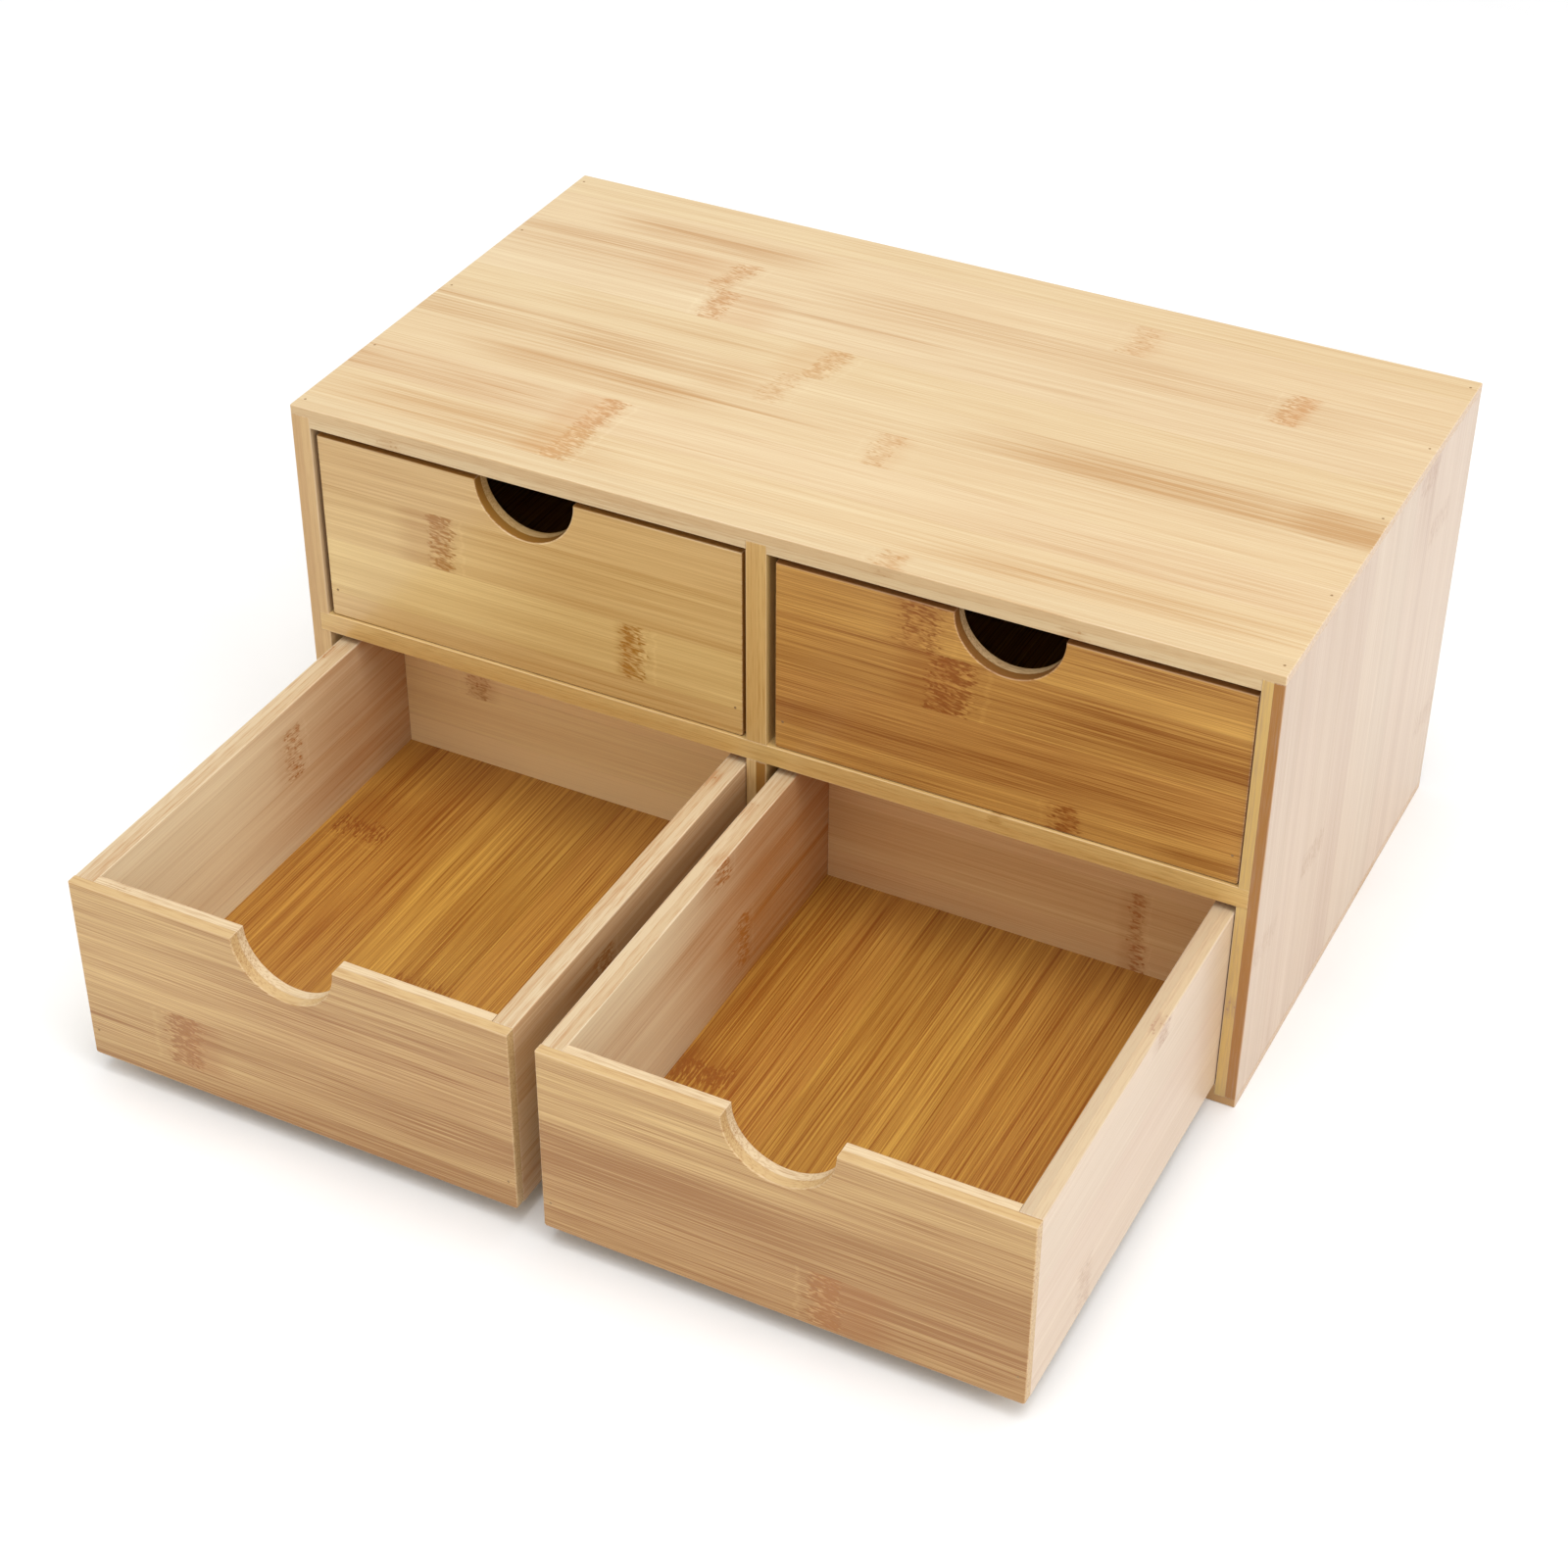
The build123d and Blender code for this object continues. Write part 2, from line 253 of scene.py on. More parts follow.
class Bamboo(Shader):
    """A board of laminated bamboo. Its marks are the patterns on it, by name, and most go from 0 to 1."""

    def __init__(self, name, board):
        super().__init__(name)
        self.board = board
        self.look = LOOKS[board["look"]]
        self.marks = {}
        self.place_in_board()
        self.place_in_strip()
        self.mark_grain()
        self.mark_knots()
        self.mark_edges()
        self.mark_glue()

    def place_in_board(self):
        """Millimetres along the three axes, along the grain, across it and down from the face."""
        board = self.board
        at = self.node("TexCoord").outputs["Object"]
        scaled = self.node("VectorMath", {0: at, 1: (MM, MM, MM)}, operation="MULTIPLY").outputs[0]
        moved = self.node("VectorMath", {0: scaled, 1: board["origin"]}, operation="SUBTRACT").outputs[0]
        split = self.node("SeparateXYZ", {0: moved})
        self.axes = {name: split.outputs[name] for name in "XYZ"}
        side, face = board["face"]
        crosswise = next(name for name in "XYZ" if name not in (board["grain"], face))
        self.along = self.axes[board["grain"]]
        self.across = self.axes[crosswise]
        sign = 1.0 if side == "+" else -1.0
        surface = board["high" if side == "+" else "low"]["XYZ".index(face)]
        self.depth = self.times(self.math("SUBTRACT", surface, self.axes[face]), sign)

    def place_in_strip(self):
        """The place in plies and strips, and chance values from 0 to 1 that each strip has for itself."""
        board = self.board
        self.ply = self.math("GREATER_THAN", self.depth, PLY)
        self.on_face = self.math("SUBTRACT", 1.0, self.ply)
        joint = self.add(board["joint"], self.times(self.ply, PLY_SHIFT))
        self.in_strips = self.times(self.math("SUBTRACT", self.across, joint), 1 / STRIP)
        strip = self.math("FLOOR", self.in_strips)
        self.in_strip = self.math("SUBTRACT", self.in_strips, strip)
        first_number = board["seed"] * BOARD_NUMBERS + 0.5
        number = self.add(strip, self.times(self.ply, PLY_NUMBERS), first_number)
        chance = self.node("TexWhiteNoise", {"W": number}, noise_dimensions="1D")
        self.own_tone = self.math("SUBTRACT", chance.outputs["Value"], 0.5)
        self.own = self.node("SeparateColor", {0: chance.outputs["Color"]}).outputs
        self.u = self.add(self.along, self.times(number, STRIP_ALONG))
        self.v = self.add(self.across, board["seed"] * BOARD_ACROSS)
        self.w = self.add(self.depth, self.times(number, STRIP_DOWN))

    def spread(self, lengthwise, width, slant=0.0):
        """A place for a pattern: lengthwise is given, and the other two are in units of width."""
        aside = self.add(self.v, self.times(self.u, slant)) if slant else self.v
        return self.vector(lengthwise, self.times(aside, 1 / width), self.times(self.w, 1 / width))

    def grain(self, length, width, detail, roughness=0.5, slant=0.0):
        """Noise drawn out along the fibres, and broken at the joints between strips."""
        place = self.spread(self.times(self.u, 1 / length), width, slant)
        return self.noise(place, detail, roughness)

    def cells(self, place):
        """Cells of one unit, with the distance from their middle and a chance colour."""
        return self.node("TexVoronoi", {"Vector": place, "Scale": 1.0})

    def mark_grain(self):
        self.marks["fibre"] = self.grain(40.0, 0.42, 1.0)
        self.marks["streak"] = self.grain(140.0, 1.1, 1.0)
        self.marks["vein"] = self.grain(240.0, 3.2, 0.0)
        self.marks["broad"] = self.grain(300.0, 9.0, 0.0)
        self.marks["line"] = self.steps(self.grain(130.0, 0.7, 0.0), 0.1, 0.2)
        self.marks["fleck"] = self.grain(8.0, 0.5, 1.0)

    def knot(self, run, inside, stain_reach):
        """A knot's band across its strip, its dark core, its stain on one side and a pale ridge opposite."""
        ragged = self.math("ABSOLUTE", self.add(run, self.torn))
        to_stain = self.apart(run, stain_reach / 2)
        stain_fade = [abs(stain_reach) * part for part in STAIN_FADE]
        to_ridge = self.apart(run, -math.copysign(RIDGE_OFF, stain_reach))
        return (
            self.times(self.steps(ragged, *BAND_FADE), inside),
            self.times(self.steps(ragged, *CORE_FADE), inside),
            self.times(self.steps(to_stain, *stain_fade), inside),
            self.times(self.steps(to_ridge, *RIDGE_FADE), inside),
        )

    def placed_knots(self):
        """The knots that the board lists."""
        knots = []
        for at, middle, half, strength, lean, stain_reach, size in self.board["knots"]:
            off_middle = self.math("SUBTRACT", self.across, middle)
            across_strip = self.steps(self.math("ABSOLUTE", off_middle), half + 0.3, half - 0.5)
            from_knot = self.math("SUBTRACT", self.along, at)
            leaning = self.add(from_knot, self.times(off_middle, -lean), self.wobble)
            run = self.times(leaning, 1 / size)
            knots.append(self.knot(run, self.times(across_strip, strength), stain_reach / size))
        return [self.add(*parts) for parts in zip(*knots)]

    def chance_knots(self):
        """A knot at a chance place in some of the strips."""
        phase = self.math("FRACT", self.add(self.times(self.along, 1 / KNOT_SPACING), self.own[1]))
        run = self.add(self.times(self.math("SUBTRACT", phase, 0.5), KNOT_SPACING), self.wobble)
        chosen = self.times(self.steps(self.own[2], 0.45, 0.8), self.board["chance"])
        across_strip = self.steps(self.apart(self.in_strip, 0.5), 0.49, 0.46)
        return self.knot(run, self.times(across_strip, chosen), CHANCE_STAIN)

    def mark_knots(self):
        """The knots, with bright and dark strokes of torn fibre and with pits between them. The dark strokes
        and the pits are sunk in the bump, and their dark colour is painted shadow in these hollows.
        """
        marks = self.marks
        uneven = self.spread(self.board["seed"] * BOARD_WOBBLE, KNOT_WANDER)
        self.wobble = self.times(self.noise(uneven, 2.0, 0.7), KNOT_WOBBLE)
        self.torn = self.times(self.grain(4.0, 1.0, 1.0), KNOT_TORN)
        knots = self.chance_knots()
        if self.board["knots"] is not None:
            pairs = zip(self.placed_knots(), knots)
            knots = [self.mix_values(self.ply, placed, by_chance) for placed, by_chance in pairs]
        marks.update(zip(("band", "core", "stain", "ridge"), knots))
        stroke = self.grain(3.0, 0.7, 1.0, 0.6, slant=0.14)
        # The dark strokes' colour is their painted shadow
        marks["torn_shadowed"] = self.times(self.steps(stroke, 0.02, 0.14), marks["band"])
        marks["torn_bright"] = self.times(self.steps(stroke, -0.02, -0.12), marks["band"])
        marks["patch"] = self.steps(self.grain(5.0, 4.0, 1.0), -0.1, 0.15)
        # The pits' dark colour, on the faces and the sawn edges, is painted shade in their hollows
        pits = self.cells(self.spread(self.times(self.u, 1 / PIT_LENGTH), PIT_WIDTH))
        round_pit = self.steps(pits.outputs["Distance"], 0.4, 0.24)
        picked = self.steps(self.node("SeparateColor", {0: pits.outputs["Color"]}).outputs[0], 0.5, 0.7)
        marks["pits"] = self.times(round_pit, picked, marks["band"])

    def edge_closeness(self):
        """About how many millimetres it is to the nearest edge of the board, or of its finger notch."""
        board = self.board
        gaps = []
        for name, low, high in zip("XYZ", board["low"], board["high"]):
            to_middle = self.apart(self.axes[name], (low + high) / 2)
            gaps.append(self.math("SUBTRACT", (high - low) / 2, to_middle))
        nearer = self.math("MINIMUM", gaps[0], gaps[1])
        farther = self.math("MAXIMUM", gaps[0], gaps[1])
        second = self.math("MAXIMUM", nearer, self.math("MINIMUM", farther, gaps[2]))
        if not board.get("notched"):
            return second
        up = self.math("SUBTRACT", self.axes["Z"], board["high"][2])
        squares = self.add(self.times(self.axes["X"], self.axes["X"]), self.times(up, up))
        to_rim = self.apart(self.math("SQRT", squares), NOTCH_R)
        rim = self.math("MAXIMUM", to_rim, self.math("MINIMUM", nearer, gaps[2]))
        return self.math("MINIMUM", second, rim)

    def mark_edges(self):
        """The sawn edges, the ends of the grain with their fibre bundles, and the corners, paler from wear
        and from a painted highlight.
        """
        marks = self.marks
        facing = self.node("SeparateXYZ", {0: self.node("TexCoord").outputs["Normal"]}).outputs
        marks["sawn"] = self.steps(self.math("ABSOLUTE", facing[self.board["face"][1]]), *reversed(FACING))
        marks["end"] = self.steps(self.math("ABSOLUTE", facing[self.board["grain"]]), *FACING)
        bundles = self.cells(self.spread(0.0, FIBRE_BUNDLE)).outputs["Distance"]
        marks["dots"] = self.times(self.steps(bundles, 0.42, 0.2), marks["end"])
        marks["worn_and_highlit"] = self.steps(self.add(self.edge_closeness(), marks["fibre"]), *WORN_AND_HIGHLIT_FADE)

    def mark_glue(self):
        """The glue lines between strips and between plies."""
        to_joint = self.times(self.math("SUBTRACT", 0.5, self.apart(self.in_strip, 0.5)), STRIP)
        strip_line = self.steps(to_joint, *GLUE_FADE)
        ply_line = self.steps(self.apart(self.depth, PLY), *GLUE_FADE)
        self.marks["glue"] = self.math("MAXIMUM", strip_line, ply_line)

    def weigh(self, start, weights):
        """start, plus the named marks times their weights."""
        return self.add(start, *(self.times(self.marks[name], weight) for name, weight in weights.items()))

    def tint(self, middle, darker):
        """What a strip's own tint adds to its darkness."""
        return self.times(self.steps(self.apart(self.across, middle), *TINT_FADE), self.on_face, darker)

    def smudge_and_shade(self, at, middle, half_length, half_width, strength):
        """What a patch adds to the darkness. A narrow one is a dark mark that keeps to its strip and shows
        the grain; a wide one is an even change of darkness, and painted shade at the rear of the lower
        drawers' left walls.
        """
        marks = self.marks
        bend = self.times(marks["vein"], half_width * SMUDGE_AND_SHADE_RAGGED)
        off_side = self.add(self.apart(self.across, middle), bend)
        share = self.times(
            self.steps(self.apart(self.along, at), *(half_length * part for part in SMUDGE_AND_SHADE_ENDS)),
            self.steps(off_side, *(half_width * part for part in SMUDGE_AND_SHADE_SIDES)),
            self.on_face)
        # A wide patch shows no grain; at the rear of the lower drawers' left walls it is painted shade
        if half_width >= STRIP:
            return self.times(share, strength)
        strip = math.floor((middle - self.board["joint"]) / STRIP)
        in_its_strip = self.steps(self.apart(self.in_strips, strip + 0.5), 0.505, 0.495)
        layers = self.add(marks["fibre"], marks["streak"], marks["vein"])
        grain = self.times(layers, abs(strength) * SMUDGE_GRAIN)
        return self.times(share, in_its_strip, self.add(strength, grain))

    def darkness(self):
        """How dark the faces are, from -HEADROOM, the brightest, to 1."""
        marks, board = self.marks, self.board
        tone = self.add(board["tone"], self.times(self.own_tone, board["strips"]))
        dark = self.weigh(tone, dict(zip(LAYERS, self.look["layers"])))
        streaked = self.add(STAIN_DARK, self.times(marks["streak"], STAIN_STREAKS))
        stain = self.times(marks["stain"], streaked)
        patched = self.add(CORE_DARK, self.times(marks["patch"], CORE_PATCHES))
        core = self.times(marks["core"], patched)
        dark = self.weigh(self.add(dark, stain, core), FACE_WEIGHTS)
        tints = [self.tint(*tint) for tint in board["tints"]]
        smudges_and_shade = [self.smudge_and_shade(*smudge_and_shade) for smudge_and_shade in board["smudges_and_shade"]]
        dark = self.add(dark, *tints, *smudges_and_shade)
        return self.math("MINIMUM", self.math("MAXIMUM", dark, -HEADROOM), 1.0)

    def face_colour(self):
        """The colour of the faces, where each strip has a hue and a value of its own."""
        bright, dark = self.look["bright"], self.look["dark"]
        brightest = tuple((1 + HEADROOM) * one - HEADROOM * other for one, other in zip(bright, dark))
        share = self.times(self.add(self.darkness(), HEADROOM), 1 / (1 + HEADROOM))
        plain = self.mix(share, brightest, dark)
        knotted = self.mix(self.clamped(self.weigh(0.0, RED_WEIGHTS)), plain, self.look["knot"])
        varied = self.node("HueSaturation", {
            "Color": knotted,
            "Hue": self.add(0.498, self.times(self.own[0], 0.006)),
            "Value": self.add(0.98, self.times(self.own[1], 0.04)),
        })
        return varied.outputs[0]

    def edge_colour(self):
        """The colour of the sawn edges. Each ply has its own, and so have the ends of some boards, whose pale
        pinkish colour is painted glare from the right.
        """
        outer, inner = self.board.get("plies", self.look["plies"])
        plain = self.mix(self.ply, outer, inner)
        if "ends" in self.board:
            plain = self.mix(self.marks["end"], plain, self.board["ends"])
        return self.mix(self.clamped(self.weigh(EDGE_SHADE, EDGE_WEIGHTS)), plain, self.look["dark"])

    def finished(self):
        """The material: faces and edges, their glue lines, the corners paled by wear and by a painted
        highlight, and the lacquer.
        """
        look, marks = self.look, self.marks
        sawn = self.mix(marks["sawn"], self.face_colour(), self.edge_colour())
        glued = self.mix(self.times(marks["glue"], GLUE_SHARE), sawn, look["dark"])
        # pale: what the edges and the notch's rim fade to, partly wear and partly a painted highlight
        pale = colour(*(min(1.0, PALER + (1 - PALER) * part) for part in look["bright"][:3]))
        height = self.weigh(0.0, HEIGHT_WEIGHTS)
        bump = self.node("Bump", {"Height": height, "Strength": 0.4, "Distance": 0.00012})
        return self.surfaced({
            "Base Color": self.mix(self.times(marks["worn_and_highlit"], WORN_AND_HIGHLIT_SHARE), glued, pale),
            "Roughness": self.weigh(look["rough"], ROUGH_WEIGHTS),
            "Normal": bump.outputs[0],
            "Specular IOR Level": 0.35,
            "Coat Weight": look["coat"],
            "Coat Roughness": look["coat_rough"],
        })


def filled_brads():
    """Stained steel brads, whose heads are filled flush and stand out only a little from the bamboo."""
    shader = Shader("filled_brads")
    speckle = shader.speckle(3000.0, 2.0)
    return shader.surfaced({
        "Base Color": shader.mix(speckle, colour(0.24, 0.14, 0.06), colour(0.42, 0.27, 0.13)),
        "Roughness": shader.add(0.5, shader.times(speckle, 0.3)),
        "Metallic": 0.2,
    })


def full_strips(*knots):
    """Knots that cross one whole strip, each without its half width, and without its size if that is 1."""
    half = STRIP / 2
    return [
        (along, across, half, strength, lean, stain, size[0] if size else 1.0)
        for along, across, strength, lean, stain, *size in knots]


def streaks(at, half_length, strength, *middles):
    """Thin dark streaks side by side."""
    return [(at, middle, half_length, 0.5, strength) for middle in middles]


# The boards. grain is the axis of the fibres, and face the side that the outer ply is on. joint is where one
# joint between strips is, tone is how dark the board is, and strips is how much its strips' tones differ.
# chance is how strong the knots at chance places are.
# A knot is: along the grain, across it, half its width, how strong, its lean, how far its stain reaches, and
# its size. A tint is: across the grain, and how much darker its strip is. A smudge, which lightens where its
# strength is below 0, is: along the grain, across it, half its length, half its width, and how strong. The
# wide ones at the rear of the lower drawers' left walls are painted shade.
INSIDE = dict(look="gold", tone=0.2, strips=0.2, joint=-86.0, chance=0.3)
CASE_BOARDS = {
    "case_top": dict(
        grain="X", face="+Z", look="straw", tone=0.22, strips=0.1, joint=-84.0,
        # The top's ends are pale and pinkish: painted glare from the right, as on the side look
        ends=colour(0.68, 0.53, 0.40),
        knots=full_strips(
            (-81.0, 48.0, 0.7, 0.25, -30.0), (-76.5, 27.7, 0.9, -0.1, 22.0), (-25.5, 7.4, 0.7, 0.15, -16.0),
            (-33.0, -12.9, 0.4, 0.1, -25.0), (13.0, -33.2, 0.45, 0.0, 8.0), (-74.5, -53.6, 1.0, 0.05, -14.0),
            (-75.5, -73.9, 1.0, 0.1, -14.0), (58.0, 68.3, 0.4, 0.0, 8.0), (117.5, 48.0, 0.95, 0.1, 6.0),
            (42.0, -94.2, 0.6, 0.0, 5.0)),
        smudges_and_shade=[
            (-98.0, 68.0, 55.0, 8.0, 0.36), (-95.0, 69.5, 45.0, 1.2, 0.25), (-130.0, 49.0, 60.0, 10.0, 0.24),
            (10.0, 52.0, 80.0, 8.0, 0.22), (95.0, 48.0, 60.0, 9.0, 0.18), (-25.0, 34.5, 45.0, 1.2, 0.35),
            (35.0, 26.0, 40.0, 1.2, 0.25), (-85.0, 8.0, 60.0, 5.0, 0.2), (-140.0, -12.0, 80.0, 9.5, 0.36),
            (-75.0, -12.5, 50.0, 8.5, 0.30), (95.0, -12.0, 85.0, 10.5, 0.34), (60.0, -13.5, 60.0, 1.2, 0.12),
            (100.0, -8.0, 75.0, 0.9, 0.25), (105.0, -17.5, 70.0, 1.0, 0.22), (80.0, -11.5, 60.0, 0.8, 0.15),
            (160.0, -11.5, 28.0, 9.5, 0.45), (-130.0, 40.0, 130.0, 80.0, -0.08),
            (140.0, 0.0, 150.0, 150.0, 0.06), (-90.0, -32.0, 60.0, 8.0, 0.34), (-50.0, -30.0, 60.0, 1.0, 0.3),
            (-135.0, -55.0, 75.0, 10.0, 0.3), (-110.0, -75.0, 70.0, 9.0, 0.3),
            (105.0, -76.0, 80.0, 8.0, 0.24), (105.0, -77.0, 65.0, 1.0, 0.3),
            (110.0, -56.0, 80.0, 8.0, 0.16)]),
    "case_bottom": dict(
        grain="X", face="-Z", look="straw", tone=0.28, strips=0.2, joint=-80.0,
        # The bottom's ends are pale and pinkish too: painted glare from the right
        ends=colour(0.66, 0.50, 0.37), plies=(colour(0.50, 0.28, 0.11), colour(0.50, 0.28, 0.11))),
    "case_side_left": dict(
        grain="Z", face="-X", look="straw", tone=0.25, strips=0.25, joint=-78.0, chance=0.6,
        plies=(colour(0.60, 0.38, 0.17), colour(0.66, 0.44, 0.20))),
    # The right side wears the side look, whose pale pinkish colour is painted glare from the right
    "case_side_right": dict(
        grain="Z", face="+X", look="side", tone=0.22, strips=0.06, joint=-92.6,
        knots=full_strips(
            (63.0, -41.0, 0.55, 0.0, 5.0), (126.0, 61.5, 0.45, 0.0, 5.0), (153.0, 41.5, 0.5, 0.0, 5.0),
            (58.0, -82.0, 0.3, 0.0, 5.0), (38.0, 81.5, 0.35, 0.0, 5.0)),
        tints=[(-82.45, 0.14), (-62.15, 0.12), (-41.85, 0.13), (-21.55, 0.32), (39.35, 0.16), (79.95, -0.05)],
        smudges_and_shade=[
            (155.0, -60.0, 60.0, 36.0, 0.1), (20.0, -21.5, 60.0, 9.0, 0.1), (155.0, 41.5, 40.0, 9.0, 0.2)]),
    "case_shelf": dict(
        INSIDE, grain="X", face="+Z", knots=[(80.5, -88.0, 8.0, 0.8, 0.0, 4.0, 0.5)],
        plies=(colour(0.71, 0.465, 0.165), colour(0.68, 0.43, 0.145))),
    "case_divider_upper": dict(
        INSIDE, grain="Z", face="+X", plies=(colour(0.67, 0.43, 0.15), colour(0.63, 0.39, 0.13))),
    "case_divider_lower": dict(INSIDE, grain="Z", face="+X"),
    "case_back": dict(grain="X", face="+Y", look="straw", tone=0.3, strips=0.25, joint=16.0),
}
FRONTS = {
    "upper_left": dict(
        look="gold", tone=0.32, strips=0.08, joint=9.2,
        knots=full_strips((-31.3, 39.6, 1.0, 0.0, -16.0), (37.4, 19.3, 1.0, 0.0, -6.0)),
        tints=[(-0.9, 0.12), (39.6, 0.08)],
        smudges_and_shade=[
            (40.0, 2.0, 130.0, 12.0, 0.1), (-60.0, 60.0, 40.0, 9.0, 0.05), (-60.0, 26.0, 80.0, 24.0, -0.25),
            (30.0, 8.0, 200.0, 32.0, -0.14)]),
    "upper_right": dict(
        look="brown", tone=0.3, strips=0.06, joint=10.2,
        knots=full_strips(
            (-27.5, 60.8, 0.75, 0.1, -12.0, 1.5), (-17.5, 40.6, 1.15, 0.1, -18.0, 1.5),
            (20.5, 0.0, 0.8, 0.0, 5.0)),
        tints=[(60.9, -0.03), (40.6, 0.16), (20.3, 0.18), (0.0, -0.04)],
        smudges_and_shade=[
            (60.0, 41.0, 75.0, 9.0, 0.24), (50.0, 20.0, 80.0, 8.0, 0.1), (-50.0, 15.0, 60.0, 5.0, 0.1),
            (50.0, 63.0, 40.0, 4.0, 0.2), (-50.0, 4.0, 50.0, 4.0, 0.22), (65.0, 4.0, 20.0, 4.0, 0.2),
            (75.0, 38.0, 60.0, 34.0, -0.08)]),
    "lower_left": dict(
        look="tan", tone=0.45, strips=0.06, joint=8.4,
        knots=full_strips((-39.5, 18.6, 1.0, 0.0, 14.0, 1.4)),
        tints=[(-1.8, 0.3), (38.9, -0.04), (59.2, -0.06)],
        smudges_and_shade=[
            (60.0, 20.0, 50.0, 6.0, 0.22), (30.0, 45.0, 80.0, 5.0, 0.15), (-60.0, 15.0, 40.0, 6.0, 0.15),
            (70.0, 33.0, 130.0, 60.0, 0.12), (-75.0, 33.0, 70.0, 60.0, -0.12)]),
    "lower_right": dict(
        look="tan", tone=0.55, strips=0.05, joint=1.2,
        knots=full_strips((14.5, 11.3, 1.3, 0.0, 20.0, 1.1)),
        tints=[(11.3, 0.1), (31.6, 0.16), (51.9, -0.24), (72.2, -0.26)],
        smudges_and_shade=[
            (-50.0, 34.0, 60.0, 6.0, 0.2), (-40.0, 6.0, 60.0, 5.0, 0.12), (60.0, 58.0, 100.0, 24.0, 0.13),
            (50.0, 14.5, 40.0, 2.0, 0.2),
            *streaks(50.0, 40.0, 1.0, 18.6, 15.8, 13.4), *streaks(50.0, 36.0, 0.6, 10.4, 8.2, 5.8)]),
}
DRAWER_BOARDS = {
    "side_left": dict(grain="Y", face="+X", look="wall", tone=0.3, strips=0.2, joint=-2.3),
    "side_right": dict(grain="Y", face="-X", look="wall", tone=0.3, strips=0.2, joint=8.0),
    "back": dict(grain="X", face="-Y", look="panel", tone=0.2, strips=0.2, joint=3.0),
    "floor": dict(grain="Y", face="+Z", look="amber", tone=0.34, strips=0.2, joint=-68.0),
}

# What differs on the lower drawers' boards, whose insides show
LOWER_BOARDS = {
    "lower_left_side_left": dict(
        tone=0.04, knots=full_strips((105.0, 48.4, 0.5, 0.0, -10.0)),
        # The wide smudge at the rear of this wall is painted shade: it darkens the inner face towards the
        # back, where the case keeps the light out
        smudges_and_shade=[(180.0, 35.0, 120.0, 80.0, 0.6)]),
    # Its tone of 0.6, darker than the other walls, is painted shade: the outer face of this wall stands in
    # the narrow gap between the lower drawers
    "lower_left_side_right": dict(tone=0.6, knots=[(133.0, 62.5, 6.0, 0.8, 0.0, -8.0, 0.9)]),
    "lower_left_back": dict(tone=-0.2, knots=[(-40.0, 44.0, 6.0, 0.7, 0.0, 8.0, 1.0)]),
    "lower_left_floor": dict(
        joint=-65.8, knots=full_strips((120.0, -55.6, 0.9, 0.0, 20.0), (59.0, 5.3, 0.4, 0.0, 10.0)),
        smudges_and_shade=[(80.0, -50.0, 140.0, 45.0, 0.1), (80.0, -12.0, 140.0, 9.0, -0.3)]),
    "lower_right_side_left": dict(
        tone=0.1, knots=full_strips((99.0, 68.7, 0.6, 0.0, -14.0), (112.0, 28.1, 0.4, 0.0, -14.0, 0.8)),
        # The second, wide smudge, at the rear of this wall, is painted shade: it darkens the inner face
        # towards the back, where the case keeps the light out
        smudges_and_shade=[(60.0, 45.0, 50.0, 10.0, 0.15), (165.0, 35.0, 120.0, 80.0, 0.75)]),
    # The outer face of this wall wears the side look, whose pale pinkish colour is painted glare from the
    # right
    "lower_right_side_right": dict(
        face="+X", look="side", tone=0.1, strips=0.1, joint=-0.9,
        knots=full_strips((40.0, 9.2, 0.5, 0.0, 6.0), (90.0, 70.1, 1.0, 0.0, -8.0)),
        plies=(colour(0.62, 0.47, 0.29), colour(0.56, 0.425, 0.27))),
    "lower_right_back": dict(
        tone=0.27,
        knots=full_strips((38.0, 33.4, 0.6, 0.05, -6.0, 0.55), (39.0, 13.1, 0.9, 0.0, -6.0, 0.55))),
    "lower_right_floor": dict(
        joint=-70.0, knots=full_strips((67.0, -59.8, 0.9, 0.0, 12.0)),
        smudges_and_shade=[
            (80.0, -60.0, 140.0, 30.0, 0.2), (80.0, 0.0, 140.0, 14.0, -0.15),
            (80.0, 45.0, 140.0, 25.0, 0.12)]),
}


def dress(node, material):
    """Give a node its material."""
    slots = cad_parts[node].data.materials
    slots.clear()
    slots.append(material)


def dress_board(node, origin, seed, given):
    """Bamboo on a node, whose box is measured from origin. With no knots listed, they fall by chance."""
    low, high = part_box(node)
    board = {"knots": None, "chance": 0.8, "tints": (), "smudges_and_shade": (), **given}
    board.update(seed=seed, origin=tuple(origin))
    board.update(low=tuple(low * MM - origin), high=tuple(high * MM - origin))
    dress(node, Bamboo(node, board).finished())


def dress_drawer(drawer, first_seed):
    """Bamboo on a drawer's boards. Their origin is the middle of the lower edge of the drawer's face."""
    front = drawer + "_front"
    low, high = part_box(front)
    origin = Vector(((low.x + high.x) / 2, low.y, low.z)) * MM
    dress_board(front, origin, first_seed, dict(FRONTS[drawer], grain="X", face="-Y", notched=True))
    for seed, (ending, given) in enumerate(DRAWER_BOARDS.items(), start=first_seed + 1):
        node = f"{drawer}_{ending}"
        dress_board(node, origin, seed, {**given, **LOWER_BOARDS.get(node, {})})


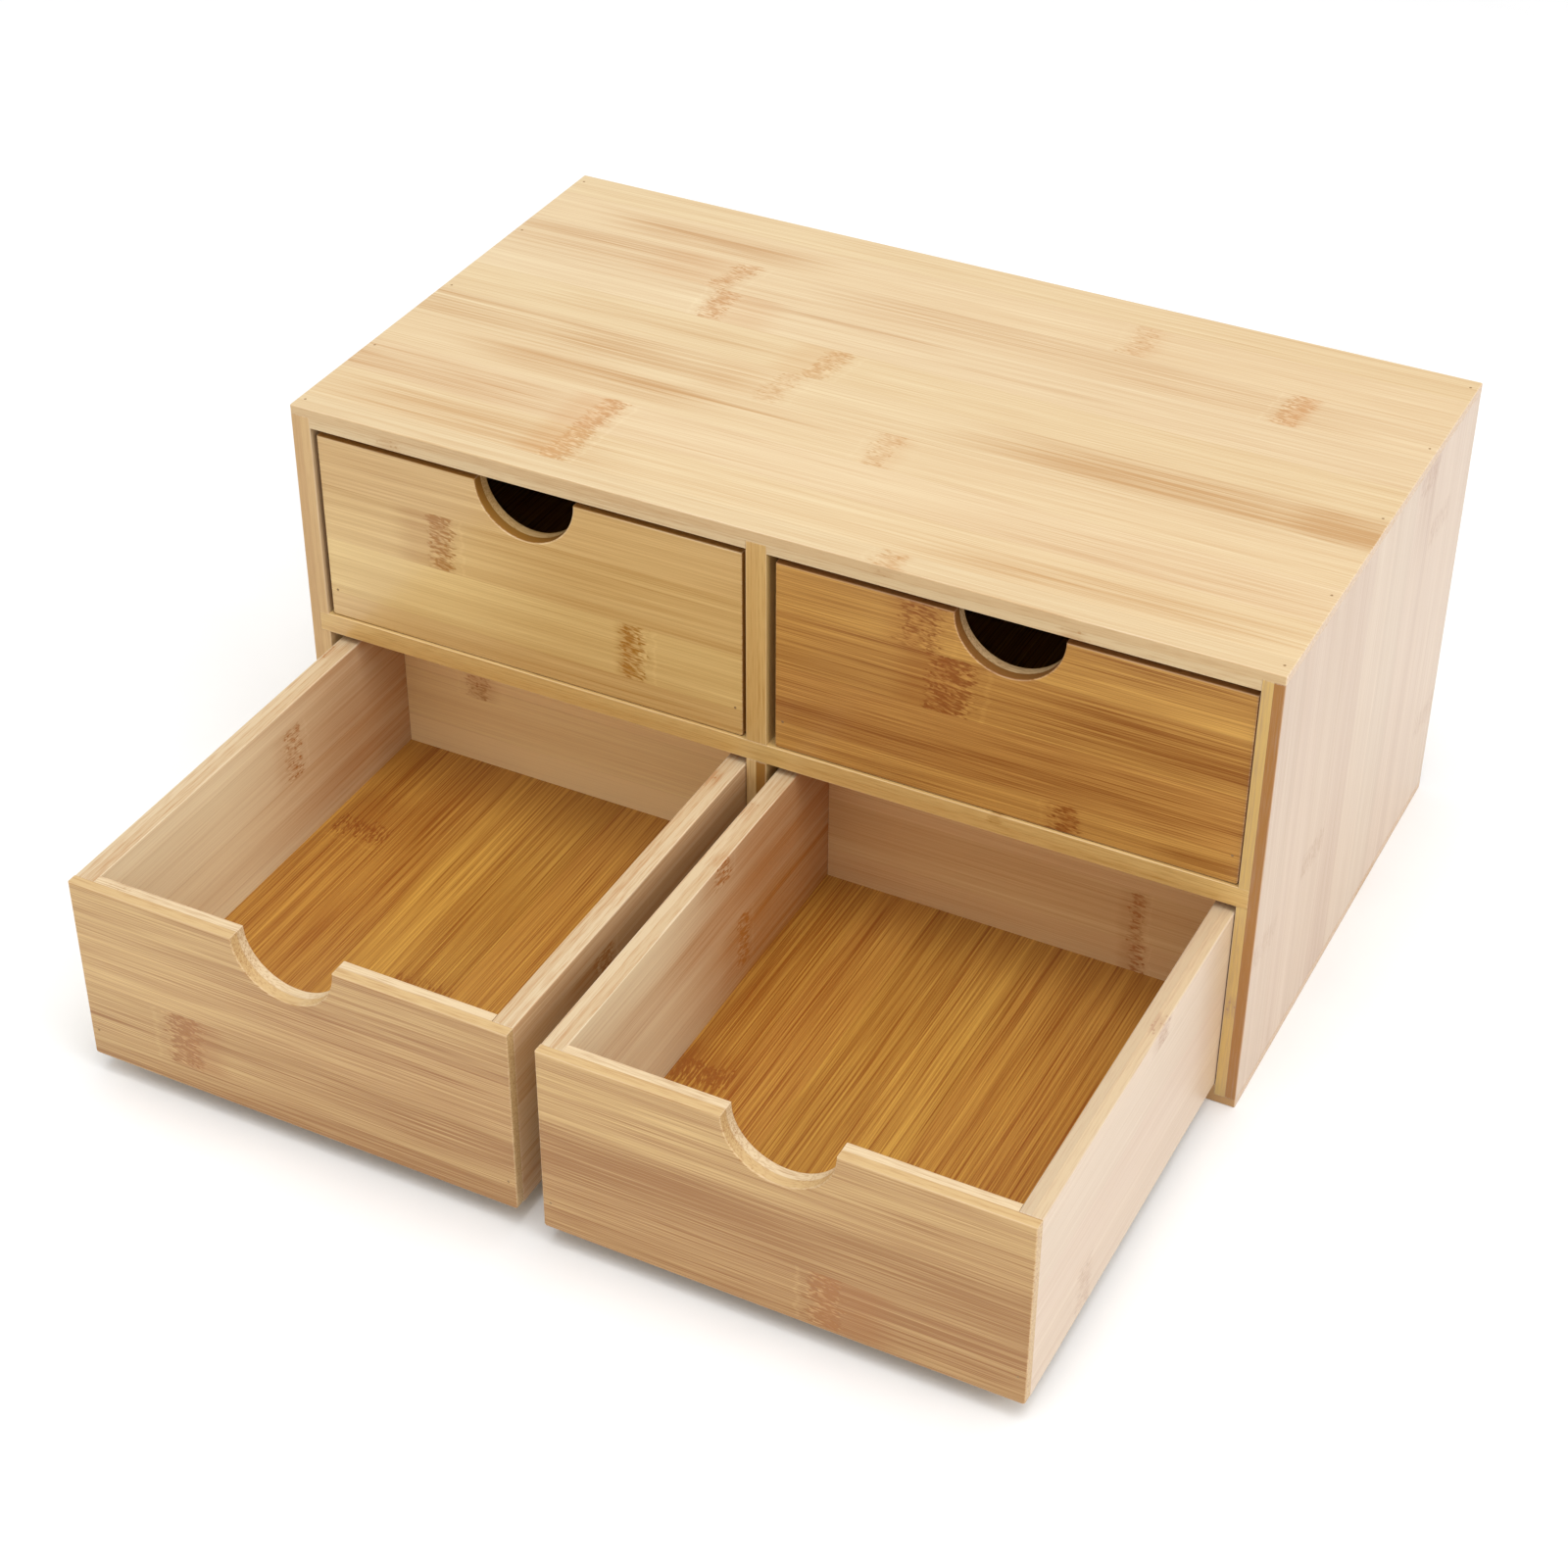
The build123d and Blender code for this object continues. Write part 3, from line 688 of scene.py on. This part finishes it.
def make_floor():
    """A large pale floor under the object."""
    bpy.ops.mesh.primitive_plane_add(size=FLOOR_SIZE, location=(0, 0, 0))
    floor = bpy.context.object
    floor.name = "floor"
    shader = Shader("floor_paper")
    pale = shader.mix(shader.speckle(30.0, 3.0), colour(0.90, 0.90, 0.90), colour(0.94, 0.94, 0.94))
    floor.data.materials.append(shader.surfaced({"Base Color": pale, "Roughness": 0.7}))


def area_light(name, at, towards, size, power):
    """A soft square light that looks at a point."""
    light = bpy.data.lights.new(name, "AREA")
    light.shape = "SQUARE"
    light.size = size
    light.energy = power
    lamp = bpy.data.objects.new(name, light)
    lamp.location = at
    lamp.rotation_euler = (Vector(towards) - Vector(at)).to_track_quat("-Z", "Y").to_euler()
    bpy.context.scene.collection.objects.link(lamp)


def light_the_stage():
    """An even white studio: a light surround, a large overhead softbox, one at the right and weak fills."""
    world = bpy.data.worlds.new("studio")
    world.use_nodes = True
    background = world.node_tree.nodes["Background"]
    background.inputs["Color"].default_value = colour(1.0, 1.0, 1.0)
    background.inputs["Strength"].default_value = SURROUND
    bpy.context.scene.world = world
    for lamp in LAMPS:
        area_light(*lamp)
    bpy.context.scene.view_settings.view_transform = "Standard"


def make_camera():
    camera = bpy.data.objects.new("camera", bpy.data.cameras.new("camera"))
    camera.data.lens = CAMERA_LENS
    camera.data.sensor_width = SENSOR_WIDTH
    camera.location = CAMERA_AT
    flat = math.cos(CAMERA_ELEVATION)
    ahead = Vector((
        -math.sin(CAMERA_AZIMUTH) * flat,
        math.cos(CAMERA_AZIMUTH) * flat,
        -math.sin(CAMERA_ELEVATION),
    ))
    turn = ahead.to_track_quat("-Z", "Y") @ Quaternion((0, 0, 1), CAMERA_ROLL)
    camera.rotation_euler = turn.to_euler()
    bpy.context.scene.collection.objects.link(camera)
    bpy.context.scene.camera = camera


for seed, (node, given) in enumerate(CASE_BOARDS.items(), start=1):
    dress_board(node, Vector((0, 0, 0)), seed, given)
for number, drawer in enumerate(DRAWERS):
    dress_drawer(drawer, DRAWER_SEED + DRAWER_SEEDS * number)
brads = filled_brads()
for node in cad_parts:
    if node.endswith("_brads"):
        dress(node, brads)
make_floor()
light_the_stage()
make_camera()
